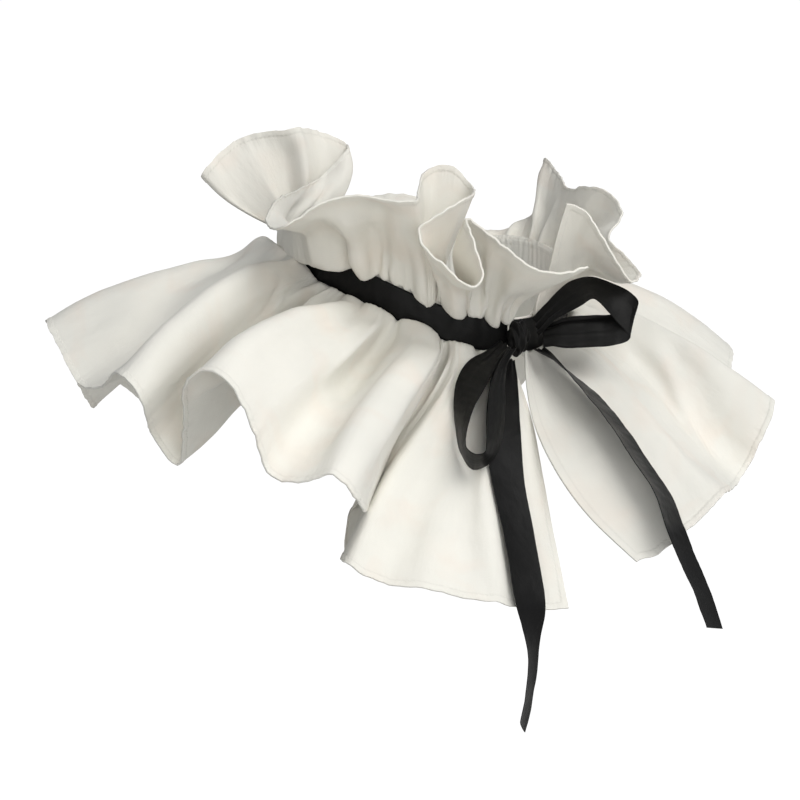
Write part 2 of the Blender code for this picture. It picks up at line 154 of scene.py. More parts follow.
FRILL_FOLDS = (
    ("front edge right",   1,  -2, 28,  64, 0, 0),
    ("lap",                4,   9, 26,  64, 0, 0),
    ("lap side",           8,  18, 28,  64, 0, 0),
    ("lap crest",         12,  26, 37,  64, 2, 0),
    ("lap end",         15.2,  36, 46,  64, 2, 0),
    ("mouth top",       16.2,  39, 49,  64, 0, 7),
    ("mouth side",        17,  35, 38,  64, 0, 6),
    ("mouth corner",      18,  30, 23,  64, 0, 2),
    ("mouth foot",        20,  31, 18,  64, 2, 0),
    ("mouth rim",       22.5,  34, 19,  64, 3, 0),
    ("mouth rim side",  25.5,  37, 24,  64, 3, 0),
    ("mouth turn",      27.7,  43, 30,  64, 2, 0),
    ("mouth end",       28.8,  46, 38,  64, 0, 0),
    ("roll front",      29.3,  33, 47,  64, 2, 0),
    ("roll lip",        29.8,  17, 53,  64, 2, 0),
    ("roll side",       30.3, -73, 73,  56, 0, 0),
    ("roll top",        31.2, -90, 81,  62, 0, 0),
    ("roll crest",      32.2, 208, 85,  60, 0, 0),
    ("roll back",       33.6,  52, 75,  54, 0, 0),
    ("ruffle start",      36,  40, 48,  64, 2, 0),
    ("ruffle",            42,  44, 45,  64, 3, 0),
    ("ruffle crest",      50,  50, 42,  64, 4, 0),
    ("ruffle face",       58,  54, 34,  64, 4, 0),
    ("ruffle side",       66,  54, 23,  64, 4, 0),
    ("ruffle tip",        73,  55, 16,  64, 3, 0),
    ("ruffle turn",       81,  69, 20,  42, 2, 0),
    ("hood lip start",    93,  74, 43,  26, 0, 0),
    ("hood lip",         108, 224, 36,  32, 0, 0),
    ("hood lip side",    130, 240, 36,  48, 0, 5),
    ("hood lip end",     149, 256, 55,  56, 0, 11),
    ("hood turn",      152.5, 246, 54,  62, 0, 13),
    ("hood back",        154, 223, 60,  65, 0, 8),
    ("hood crest",     155.5, 177, 75,  62, 0, 3),
    ("hood side",      156.7, 142, 54,  68, -2, 0),
    ("hood tip",         158, 122, 34,  69, -5, -4),
    ("behind the hood",  168, 155, 28,  64, 0, 0),
    ("back dip 1",       179, 180, 16,  62, 0, 0),
    ("back ridge 1",     190, 210, 20,  64, 0, 0),
    ("back ridge 2",     197, 216, 22,  64, 0, 0),
    ("back side",        204, 222, 18,  64, 0, 0),
    ("back dip 2",       212, 214, -1,  62, 0, 0),
    ("back ridge 3",     221, 223, -14, 62, 0, 0),
    ("back dip 3",       231, 234, -2,  62, 0, 0),
    ("back ridge 4",     241, 244, -14, 62, 0, 0),
    ("back dip 4",       251, 247,  9,  62, 0, 0),
    ("left tip",         262, 234, 46,  54, 0, 0),
    ("left tip side",    268, 255, 59,  40, 0, 0),
    ("curl start",       274, 335, 63,  33, 0, 0),
    ("curl top",         280, 350, 55,  41, 0, 0),
    ("curl",             286, 347, 48,  46, 0, 0),
    ("curl side",        292, 346, 34,  46, 0, 0),
    ("curl dip",         298, 361, 26,  40, 0, 0),
    ("flap under",       304, 358, 16,  46, 0, 0),
    ("flap turn",        310, 360,  9,  57, 0, 0),
    ("flap tip",         315, 368,  9,  61, 0, 0),
    ("flap hem",         322, 375, 23,  64, 0, 0),
    ("flap side",        330, 376, 39,  64, 0, 0),
    ("flap crest",       338, 373, 53,  64, 0, 0),
    ("front edge left",  348, 369, 60,  64, 0, 0),
)
BOW_COLUMNS = ("place", "x", "y", "z", "heading", "rise", "width")
RIGHT_LOOP = (
    ("start",          9,  -77, -24,  22, -35,  8),
    ("upper",         14,  -84, -15,  22, -38, 13),
    ("upper end",     22,  -90,  -8,  18, -38, 16),
    ("top bend",      28,  -95,  -5,  36, -30, 16),
    ("over",          33, -100,  -8,  58, -32, 16),
    ("outer",         38, -105, -13,  80, -44, 16),
    ("turn",          41, -110, -20,  75, -68, 16),
    ("lower end",     34, -105, -24,  44, -57, 16),
    ("lower",         25,  -98, -25,  40, -57, 16),
    ("lower start",   15,  -90, -26,  40, -56, 15),
    ("end",            9,  -83, -28,  40, -46,  9),
)
LEFT_LOOP = (
    ("start",         -9,  -77, -31,  12,  -8,  8),
    ("outer start",  -20,  -82, -34,   2, -12, 12),
    ("outer",        -32,  -88, -38,  -8, -18, 16),
    ("outer side",   -43,  -95, -44, -10, -12, 16),
    ("outer lower",  -52, -103, -51,   4,   4, 16),
    ("outer foot",   -58, -110, -59,  17,  12, 16),
    ("foot side",    -62, -117, -66,  27,  25, 16),
    ("foot",         -61, -124, -70,  33,  40, 16),
    ("inner foot",   -56, -127, -68,  48,  30, 16),
    ("inner lower",  -50, -123, -62,  62,  16, 16),
    ("inner",        -41, -113, -51,  66,   6, 16),
    ("inner side",   -32, -102, -42,  62,   4, 16),
    ("inner start",  -19,  -90, -35,  58,   6, 11),
    ("end",          -10,  -83, -32,  56,   8,  8),
)
TAIL_COLUMNS = ("place", "edge", "down", "off", "roll", "hang", "aside", "width")
RIGHT_SIDE_TAIL = (
    ("knot",        13, 0.05, 4.6,   0,  0,   0,  9),
    ("upper",       27, 0.13, 4.4,   0,  0,   0, 13),
    ("middle",      33, 0.36, 3.8,   0,  0,   0, 16),
    ("lower",       29, 0.58, 3.4,   0,  0,   0, 16),
    ("near hem",    23, 0.78, 3.4,   0,  0,   0, 16),
    ("hem",         20, 1.00, 4.0,   8,  0,   0, 16),
    ("below hem",   20, 1.00, 5.0,  32, 12,   0, 16),
    ("hanging",     20, 1.00, 5.0,  47, 26,   1, 16),
    ("end side",    20, 1.00, 5.0,  52, 43,  -1, 16),
    ("end",         20, 1.00, 5.0,  55, 55,  -4, 16),
)
LEFT_SIDE_TAIL = (
    ("knot",        13, 0.03, 5.8,  10,  0,   0,  9),
    ("upper",       17, 0.14, 9.0,  46,  0,   0, 13),
    ("upper side",  23, 0.36, 9.4,  45,  0,   0, 16),
    ("middle",      25, 0.57, 9.6,  48,  0,   0, 16),
    ("lower",       25, 0.75, 9.8,  50,  0,   0, 16),
    ("near hem",    25, 0.88, 9.8,  51,  0,   0, 16),
    ("hem",         22, 1.00, 9.8,  52,  0,   0, 16),
    ("below hem",   22, 1.00, 9.8,  52, 14,   7, 16),
    ("hanging",     22, 1.00, 9.8,  54, 32,  17, 16),
    ("end",         22, 1.00, 9.8,  56, 50,  25, 16),
)

# ------------------------------------------------------------------ folds placed one by one
# Puffs: where the gathered cloth bulges out over the ribbon's edge.  from, to:
# degrees round the ring; out: how far it stands out, cover: how much of the
# ribbon's width it hides, run: how far down the cloth it swells, mm; peak: where
# it is fullest, if not in its middle.
PUFF_COLUMNS = ("from", "to", "out", "cover", "run", "peak")
CAPE_PUFFS = (
    (0,    7, 1.4, 0.6, 7),
    (7,   15, 2.0, 1.0, 8),
    (15,  27, 3.4, 2.0, 14),
    (27, 28.6, -0.6, -0.6, 6),
    (28.6, 45, 6.6, 4.6, 18),
    (45,  58, 6.0, 3.4, 17),
    (58,  66, 2.2, 1.6, 10),
    (66,  80, 2.4, 1.8, 12),
    (80, 134, 5.0, 13.5, 24, 116),
    (134, 147, 3.4, 4.0, 14),
    (318, 329, 2.2, 1.6, 10),
    (329, 341, 3.0, 2.0, 12),
    (341, 349, 1.8, 1.0, 8),
    (349, 360, 1.4, 0.6, 6),
)
FRILL_PUFFS = (
    (0,    5, 1.6, 3.0, 4),
    (5,   12, 2.2, 4.4, 5),
    (12,  18, 2.2, 1.8, 6),
    (18, 28.8, 3.6, 4.4, 8),
    (28.8, 30.4, -0.4, -0.8, 4),
    (30.4, 40, 3.0, 3.4, 7),
    (40,  43.5, 1.3, 0.4, 5),
    (43.5, 48, 1.1, 0.2, 5),
    (48,  53, 1.4, 0.6, 5),
    (53, 61.0, 5.0, 4.2, 8),
    (61.0, 129, 8.0, 7.2, 10, 73),
    (328, 334, 1.4, 1.0, 4),
    (334, 341, 2.0, 1.6, 5),
    (341, 347, 1.4, 1.0, 4),
    (347, 353, 1.6, 1.2, 4),
    (353, 360, 1.2, 0.6, 4),
)
# Creases: a soft trough (depth under 0) or ridge along the cloth.  It runs from
# the thread that springs at neck angle "at", share "from" of its length, to the
# thread "to_at", share "to"; width mm of cloth, depth mm.
CREASE_COLUMNS = ("name", "at", "from", "to_at", "to", "width", "depth")
CAPE_CREASES = (
    ("pocket by ridge 4",    45.6, 0.04, 44.2, 0.56,  9, -8.0),
    ("pocket edge",          46.4, 0.10, 45.4, 0.48,  5, -5.0),
    ("side of the pocket",   49.0, 0.04, 48.2, 0.50,  7,  4.2),
    ("ridge 4 left edge",    42.4, 0.05, 41.8, 0.62,  6,  2.6),
    ("pocket run",           45.0, 0.22, 43.6, 0.90, 15, -3.6),
    ("ridge 4 crest",          37, 0.05, 33.0, 0.90, 16,  3.4),
    ("ridge 4 edge",         30.6, 0.04, 30.4, 0.80,  7,  2.4),
    ("ridge 3 face",           51, 0.05, 50.0, 0.80, 16,  2.2),
    ("valley under ridge 4",   27, 0.03, 26.0, 0.62,  8, -5.6),
    ("thin pleat",           25.6, 0.06, 25.0, 0.30,  5,  1.8),
    ("face 5 left valley",   22.6, 0.04, 22.0, 0.40,  7, -1.6),
    ("face 5 crest",           19, 0.04, 16.0, 0.60, 14,  3.2),
    ("trough of face 5",     15.0, 0.20, 19.5, 0.95, 15, -3.4),
    ("ridge 6 crest",          14, 0.25,  9.6, 0.97,  9,  4.2),
    ("trough by ridge 6",      10, 0.22,  6.6, 0.97,  9, -4.2),
    ("front roll",            5.4, 0.25,  4.2, 0.90,  7,  1.4),
    ("front pucker 1",        4.5, 0.62,  3.4, 0.80,  5, -1.2),
    ("front pucker 2",        3.5, 0.78,  4.4, 0.95,  5,  0.9),
    ("ridge 3 crest",        59.5, 0.04, 58.6, 0.92,  8,  4.2),
    ("behind ridge 3",         64, 0.05, 66.0, 0.88,  8, -6.6),
    ("small ridge",          71.0, 0.02, 72.0, 0.46,  6,  4.8),
    ("beside small ridge",   75.5, 0.02, 75.0, 0.60,  7, -4.6),
    ("ridge 2 lower side",   79.0, 0.04, 80.0, 0.70, 10,  1.4),
    ("ridge 2 crest",        87.0, 0.05, 86.4, 0.92, 10,  4.2),
    ("behind ridge 2",         93, 0.05, 93.5, 0.90,  9, -6.6),
    ("nick on ridge 2",      85.0, 0.16, 80.5, 0.30,  4, -2.2),
    ("swell by the nick",    82.0, 0.14, 78.0, 0.30,  8,  1.4),
    ("dent on face 2",       77.5, 0.20, 76.5, 0.42,  9, -1.6),
    ("trough on face 1",      113, 0.12,105.0, 0.66, 15, -4.2),
    ("ridge on face 1",       104, 0.10,102.5, 0.60, 12,  1.6),
    ("small dent on face 1",   99, 0.56, 98.0, 0.72,  8, -1.2),
    ("dip of ridge 1",        116, 0.35,114.0, 0.85, 14, -1.2),
    ("fold by the slit",      343, 0.14,349.0, 0.95,  7,  2.0),
    ("beside the fold",     346.5, 0.16,351.5, 0.92,  8, -1.8),
    ("long soft ridge",       335, 0.06,330.0, 0.90, 12,  1.8),
    ("wide trough",           330, 0.20,326.0, 0.92, 20, -3.2),
    ("small dent",            314, 0.28,315.0, 0.56,  9, -3.2),
    ("ridge by the dent",     318, 0.24,321.0, 0.60, 10,  1.6),
    ("second dent",           304, 0.44,312.0, 0.80, 10, -3.4),
    ("sharp side of dent",    311, 0.48,322.0, 0.86,  6,  2.2),
    ("hem dimple",            316, 0.80,315.0, 0.98,  6, -2.0),
    ("side ridge",            306, 0.10,309.0, 0.80, 14,  1.4),
)
FRILL_CREASES = (
    ("valley by pointed puff",53.2, 0.02, 51.0, 0.55,  5, -4.8),
    ("ruffle trough",          50, 0.10, 45.0, 0.88,  8, -5.0),
    ("ruffle small ridge",   46.5, 0.02, 42.0, 0.75,  6,  2.4),
    ("gather 1",             43.6, 0.02, 43.0, 0.40,  4, -1.6),
    ("gather 2",             40.2, 0.02, 39.6, 0.45,  4, -1.8),
    ("face by the roll",     35.5, 0.04, 36.5, 0.80,  7,  1.4),
    ("cup of the ruffle",      58, 0.05, 57.0, 0.80, 12,  5.8),
    ("band beside the cone",   51, 0.06, 48.5, 0.70,  5,  1.6),
    ("fold to pointed puff",   62, 0.03, 60.0, 0.45,  5, -3.0),
    ("ruffle lower trough",    68, 0.08, 64.5, 0.75,  9, -4.6),
    ("ruffle lower ridge",     74, 0.06, 70.5, 0.75,  8,  2.2),
    ("roll seam",            29.6, 0.02, 29.6, 0.45,  3, -1.6),
    ("mouth wall",             24, 0.04, 24.0, 0.75, 10,  1.8),
    ("mouth wall side",      20.4, 0.05, 20.0, 0.55,  5, -1.2),
    ("beside the mouth",     15.0, 0.04, 14.6, 0.60,  4, -2.2),
    ("lap ridge",              13, 0.05, 13.0, 0.85,  6,  2.0),
    ("lap trough",           10.6, 0.06, 11.0, 0.80,  7, -2.0),
    ("lap second ridge",      8.2, 0.05,  8.0, 0.55,  6,  1.6),
    ("lap second trough",     6.2, 0.04,  6.5, 0.42,  5, -1.8),
    ("scrunch 1",             4.4, 0.02,  5.2, 0.34,  4,  1.6),
    ("scrunch 2",             3.0, 0.04,  3.8, 0.40,  4, -1.8),
    ("scrunch 3",             1.9, 0.06,  2.4, 0.45,  3,  1.3),
    ("hood crease",         155.4, 0.30,155.4, 1.00,  4,  3.0),
    ("hood trough",         156.1, 0.30,155.9, 0.90,  9, -3.4),
    ("hood left swell",     156.7, 0.30,156.7, 0.95, 11,  4.2),
    ("hood left trough",    157.4, 0.30,157.2, 0.80,  8, -3.0),
    ("hood hollow",           154, 0.30,154.0, 0.90, 12, -2.0),
    ("lip hollow",            140, 0.35,138.0, 0.90, 14, -1.6),
    ("lip side ridge",        120, 0.35,118.0, 0.90, 10,  1.2),
    ("left tip fold",         265, 0.20,263.5, 0.90,  8, -1.8),
    ("curl fold",             289, 0.30,288.0, 0.95,  7,  2.0),
    ("curl trough",           294, 0.30,295.0, 0.95,  8, -2.0),
    ("flap ridge",            334, 0.20,332.0, 0.90,  9,  1.6),
    ("flap trough",           326, 0.20,325.0, 0.80, 10, -1.8),
    ("scrunch",               344, 0.04,345.5, 0.35,  5, -1.4),
)


# ------------------------------------------------------------------ curves
def ring(angle, out=0.0, up=0.0):
    t = np.radians(angle)
    tip = (NECK_FRONT_DROP - NECK_BACK_DROP) / 2
    sag = (NECK_FRONT_DROP + NECK_BACK_DROP) / 4
    z = -tip * np.cos(t) - sag * np.cos(2 * t) - sag + NECK_SIDE_TILT * np.sin(t)
    return np.stack([-(NECK_HALF_WIDTH + out) * np.sin(t),
                     -(NECK_HALF_DEPTH + out) * np.cos(t), z + up], -1)


def aim(heading, rise):
    h, r = np.radians(heading), np.radians(rise)
    return np.stack([-np.sin(h) * np.cos(r), -np.cos(h) * np.cos(r), np.sin(r) + 0 * h], -1)


def unit(v):
    return v / (np.linalg.norm(v, axis=-1, keepdims=True) + 1e-12)


def curve(knots, steps=40):
    """A smooth curve through the knots (centripetal Catmull-Rom) and how far
    along it each of its points lies."""
    p = np.vstack([2 * knots[0] - knots[1], knots, 2 * knots[-1] - knots[-2]])
    t = np.concatenate([[0], np.cumsum(np.linalg.norm(np.diff(p[:, :3], axis=0), axis=1) ** 0.5)])
    fine = []
    for i in range(1, len(p) - 2):
        t0, t1, t2, t3 = t[i - 1:i + 3]
        for u in np.linspace(t1, t2, steps, endpoint=False):
            a1 = ((t1 - u) * p[i - 1] + (u - t0) * p[i]) / (t1 - t0)
            a2 = ((t2 - u) * p[i] + (u - t1) * p[i + 1]) / (t2 - t1)
            a3 = ((t3 - u) * p[i + 1] + (u - t2) * p[i + 2]) / (t3 - t2)
            b1 = ((t2 - u) * a1 + (u - t0) * a2) / (t2 - t0)
            b2 = ((t3 - u) * a2 + (u - t1) * a3) / (t3 - t1)
            fine.append(((t2 - u) * b1 + (u - t1) * b2) / (t2 - t1))
    fine = np.array(fine + [p[-2]])
    run = np.concatenate([[0], np.cumsum(np.linalg.norm(np.diff(fine[:, :3], axis=0), axis=1))])
    return fine, run


def sample(fine, run, at):
    return np.stack([np.interp(at, run, fine[:, k]) for k in range(fine.shape[1])], 1)


def soft(x):
    x = np.clip(x, 0, 1)
    return x * x * (3 - 2 * x)


def hump(x, peak):
    """0 at 0, 1 at peak, then a slow fall."""
    x = np.maximum(x, 0) / peak
    return x * np.exp(1 - x)


def ripple(x, y, seed, octaves=3):
    """Smooth seeded noise of about +-1 on coordinates in its own wavelengths."""
    rng = np.random.default_rng(seed)
    total, weight = 0.0, 0.0
    for o in range(octaves):
        f = 1.9 ** o
        for _ in range(4):
            a, b = rng.normal(size=2)
            n = math.hypot(a, b) + 1e-9
            total = total + np.sin(2 * math.pi * f * (a / n * x + b / n * y) + rng.uniform(0, 7)) / f
            weight += 0.5 / f
    return total / weight


# ------------------------------------------------------------------ ruffles
class Ruffle:
    """A gathered strip: threads run from under the ribbon to the hem."""

    def __init__(self, folds, edge_up, edge_out, first_rise, length, outer, over_way):
        self.table = {name: np.array([row[i] for row in folds], dtype=float)
                      for i, name in enumerate(COLUMNS) if name != "fold"}
        t = self.table
        start = ring(t["neck"], edge_out, edge_up)
        hem = start + t["reach"][:, None] / 1000 * aim(t["heading"], t["rise"])
        self.fine, self.run = curve(np.column_stack([hem, t["neck"], t["lift"], t["sway"]]))
        self.cut = self.run[-1]
        self.edge_up, self.edge_out, self.first_rise = edge_up, edge_out, first_rise
        self.length, self.outer, self.over_way = length, outer, over_way

    def cut_at(self, neck):
        """How far along the hem the thread from that neck angle ends."""
        return np.interp(neck, self.fine[:, 3], self.run)

    def base(self, at, l):
        """Grid of the smooth form.  at: metres along the hem; l: metres down the cloth."""
        line = sample(self.fine, self.run, at)
        neck, lift, sway = line[:, 3], line[:, 4:5] / 1000, line[:, 5:6] / 1000
        start = ring(neck, self.edge_out, self.edge_up)
        chord = line[:, :3] - start
        reach = np.linalg.norm(chord, axis=1)[:, None]
        flat = unit(chord * [1, 1, 0])
        side = np.stack([flat[:, 1], -flat[:, 0], 0 * neck], -1)
        over = np.cross(side, chord / reach)
        over *= np.sign(over[:, 2:3] + 1e-9)
        first = aim(neck, self.first_rise(neck))
        rows = []
        for r in np.maximum(l, 0) / self.length:
            settle = 1 - (1 - r) ** 3
            bow = 4 * r * (1 - r)
            rows.append(start + r * ((1 - settle) * first * reach + settle * chord)
                        + bow * (lift * over + sway * side))
        grid = np.array(rows).transpose(1, 0, 2)
        tuck = np.minimum(l, 0)[None, :, None]                   # under the ribbon
        grid = grid + np.where(tuck < 0, 1.0, 0.0) * (
            tuck * np.array([0, 0, math.copysign(1, self.edge_up)]) * 1.0)
        return grid, neck

    def puffs(self, neck, table, hidden_seed):
        """Height, lap and run of the gathers at each thread."""
        rows = [list(r) for r in table]
        rng = np.random.default_rng(hidden_seed)
        low = max(r[1] for r in rows if r[1] < 180)
        high = min(r[0] for r in rows if r[0] > 180)
        a = low
        while a < high - 4:
            b = min(a + rng.uniform(5, 14), high)
            if high - b < 4:
                b = high
            size = (b - a) / 12
            rows.append([a, b, 1.2 + 2.2 * size, 0.4 + 2.4 * size, 5 + 7 * size])
            a = b
        out, over, run = (np.zeros_like(neck) for _ in range(3))
        valley = np.zeros_like(neck)
        for a, b, o, v, w, *peak in rows:
            top = peak[0] if peak else (a + b) / 2
            x = np.where(neck < top, (neck - top) / (top - a), (neck - top) / (b - top))
            on = (np.abs(x) <= 1)
            g = np.where(on, (1 - np.minimum(np.abs(x), 1) ** 2.4) ** 0.8, 0)
            out = np.where(on, (o + 2.2) * g - 2.2, out)
            over = np.where(on, (v + 0.8) * g - 0.8, over)
            run = np.where(on, w, run)
            valley = np.where(on, 1 - g, valley)
        return out / 1000, over / 1000, np.maximum(run, 3) / 1000, valley

    def creases(self, at, l, table, seed, count):
        """Height field of the creases, metres, on the grid at x l."""
        h = np.zeros((len(at), len(l)))
        rows = [(self.cut_at(a), r0, self.cut_at(b), r1, w / 1000, d / 1000)
                for _, a, r0, b, r1, w, d in table]
        rng = np.random.default_rng(seed)
        for _ in range(count):
            s0 = rng.uniform(0, self.cut)
            r0 = rng.uniform(0.0, 0.75)
            r1 = min(1.0, r0 + rng.uniform(0.15, 0.5))
            rows.append((s0, r0, s0 + rng.normal(0, 0.006), r1, rng.uniform(0.004, 0.012),
                         rng.normal(0, 0.00042)))
        share = np.clip(l / self.length, 0, 1)
        for s0, r0, s1, r1, w, d in rows:
            q = np.clip((share - r0) / (r1 - r0), 0, 1)
            mid = s0 + (s1 - s0) * q
            live = soft((share - r0 + 0.04) / 0.16) * soft((r1 + 0.10 - share) / 0.25)
            h += d * live[None, :] * np.exp(-((at[:, None] - mid[None, :]) / w) ** 2)
        return h


def cape_first_rise(neck):
    return (-12 - 28 * np.exp(-(((neck + 180) % 360 - 180) / 34.0) ** 2)
            + 30 * np.exp(-((neck - 97) / 26.0) ** 2))


def frill_first_rise(neck):
    return 48 + 0 * neck


def normals(grid, outer):
    """Unit normals of a grid, on the cloth's outer side."""
    du = np.gradient(grid, axis=0)
    dv = np.gradient(grid, axis=1)
    return outer * unit(np.cross(du, dv))


def shell(name, mid, wall, coords, mat, outer=1, shift=0.0):
    """A closed thin shell on a grid of middle points.  coords go to the
    attribute "cloth", which the materials read: mm along, mm down, mm to the edge."""
    n, m = mid.shape[:2]
    nor = normals(mid, outer)
    wall = np.broadcast_to(wall, (n, m))[..., None]
    front = mid + nor * (wall / 2 + shift)
    rear = mid - nor * (wall / 2 - shift)
    verts = np.concatenate([front.reshape(-1, 3), rear.reshape(-1, 3)])
    k = np.arange(n * m).reshape(n, m)
    a, b, c, d = k[:-1, :-1], k[1:, :-1], k[1:, 1:], k[:-1, 1:]
    quads = np.stack([a, b, c, d], -1).reshape(-1, 4)
    if outer < 0:
        quads = quads[:, ::-1]
    back_quads = quads[:, ::-1] + n * m
    rim = []
    for line in (k[:, 0], k[::-1, -1], k[-1, :], k[0, ::-1]):
        p, q = line[:-1], line[1:]
        rim.append(np.stack([p, p + n * m, q + n * m, q], -1))
    rim = np.concatenate(rim)
    if outer < 0:
        rim = rim[:, ::-1]
    faces = np.concatenate([quads, back_quads, rim])
    mesh = bpy.data.meshes.new(name)
    mesh.from_pydata(verts.tolist(), [], faces.tolist())
    mesh.polygons.foreach_set("use_smooth", np.ones(len(faces), dtype=bool))
    at = mesh.attributes.new("cloth", 'FLOAT_VECTOR', 'POINT')
    both = np.concatenate([coords.reshape(-1, 3)] * 2).astype(np.float32)
    at.data.foreach_set("vector", both.ravel())
    mesh.materials.append(mat)
    mesh.validate()
    mesh.update()
    obj = bpy.data.objects.new(name, mesh)
    bpy.context.scene.collection.objects.link(obj)
    return obj


def spaced(total, step, edge):
    """Positions along a strip, closer together at the hems of its two ends."""
    near = np.array([0, .0002, .0008, .0016, .0024, .0029, .0033, .0040, .0052])
    middle = np.linspace(.0068, total - .0068, int((total - .0136) / step))
    return np.concatenate([near, middle, total - near[::-1]]) if edge else np.linspace(0, total, int(total / step))


def ruffle_piece(name, cloth, puffs, creases, threads_step, l, seeds, mat):
    at = spaced(cloth.cut, threads_step, True)
    grid, neck = cloth.base(at, l)
    out, over, run, valley = cloth.puffs(neck, puffs, seeds[0])
    radial = aim(neck, 0.0)
    ll = l[None, :]
    swell = 0.7 * hump(ll, run[:, None]) + 0.3 * hump(ll, run[:, None] * 0.4)
    grid = grid + radial[:, None, :] * (out[:, None] * swell)[..., None]
    # the ribbon's edge lies at 8 mm; the puff's own edge is carried cover past it
    turn_at = 0.0030 + 0.35 * np.maximum(over - 0.004, 0)
    climb = np.sin(np.radians(cloth.first_rise(neck))) * cloth.over_way
    away = abs(cloth.edge_up) - RIBBON_WIDTH / 2
    need = np.maximum(over + away - climb * turn_at, 0.0)
    grid[..., 2] += cloth.over_way * need[:, None] * hump(ll - 0.0013, turn_at[:, None])
    nor = normals(grid, cloth.outer)
    to_hem = cloth.length - ll
    to_end = np.minimum(at, cloth.cut - at)[:, None]
    h = cloth.creases(at, l, creases, seeds[1], seeds[3])
    h = h * soft(ll / 0.010)
    # fine gathers that run out of the valleys between the puffs
    h += -0.0009 * (valley[:, None] ** 3) * hump(ll, 0.012)
    fine = ripple(at[:, None] / 0.0065, ll / 0.05, seeds[2], 2)
    h += 0.00020 * fine * np.exp(-np.maximum(ll, 0) / 0.016)
    # soft unevenness of washed cotton
    h += 0.00030 * ripple(at[:, None] / 0.030, ll / 0.055, seeds[2] + 1)
    # puckers at the hem's stitches, and the hem's own wander
    pucker = ripple(at[:, None] / 0.0078, 0 * ll, seeds[2] + 2, 2)
    h += 0.00030 * pucker * np.exp(-np.maximum(to_hem - HEM, 0) / 0.0040)
    grid = grid + nor * h[..., None]
    wander = 0.00045 * ripple(at / 0.011, 0 * at, seeds[2] + 3, 3)
    down = unit(grid[:, -1] - grid[:, -4])
    pull = soft((ll - cloth.length + 0.012) / 0.012)
    grid = grid + (wander[:, None] * pull)[..., None] * down[:, None, :]
    rim = np.minimum(to_hem, to_end + 0 * to_hem)
    wall = CLOTH + (HEM_CLOTH - CLOTH) * soft((HEM + 0.0002 - rim) / 0.0006)
    wall = wall - 0.00022 * np.exp(-((rim - HEM + 0.0001) / 0.00035) ** 2)
    coords = np.stack([np.broadcast_to(at[:, None] * 1000, h.shape),
                       np.broadcast_to(ll * 1000, h.shape), rim * 1000], -1)
    return shell(name, grid, wall, coords, mat, cloth.outer)


# ------------------------------------------------------------------ materials
def new_material(name):
    mat = bpy.data.materials.new(name)
    mat.use_nodes = True
    nodes, links = mat.node_tree.nodes, mat.node_tree.links
    return mat, nodes, links, nodes["Principled BSDF"]


def maths(nodes, links, op, a, b=None, c=None):
    n = nodes.new("ShaderNodeMath")
    n.operation = op
    for i, v in enumerate((a, b, c)):
        if v is None:
            continue
        if isinstance(v, (int, float)):
            n.inputs[i].default_value = v
        else:
            links.new(v, n.inputs[i])
    return n.outputs[0]


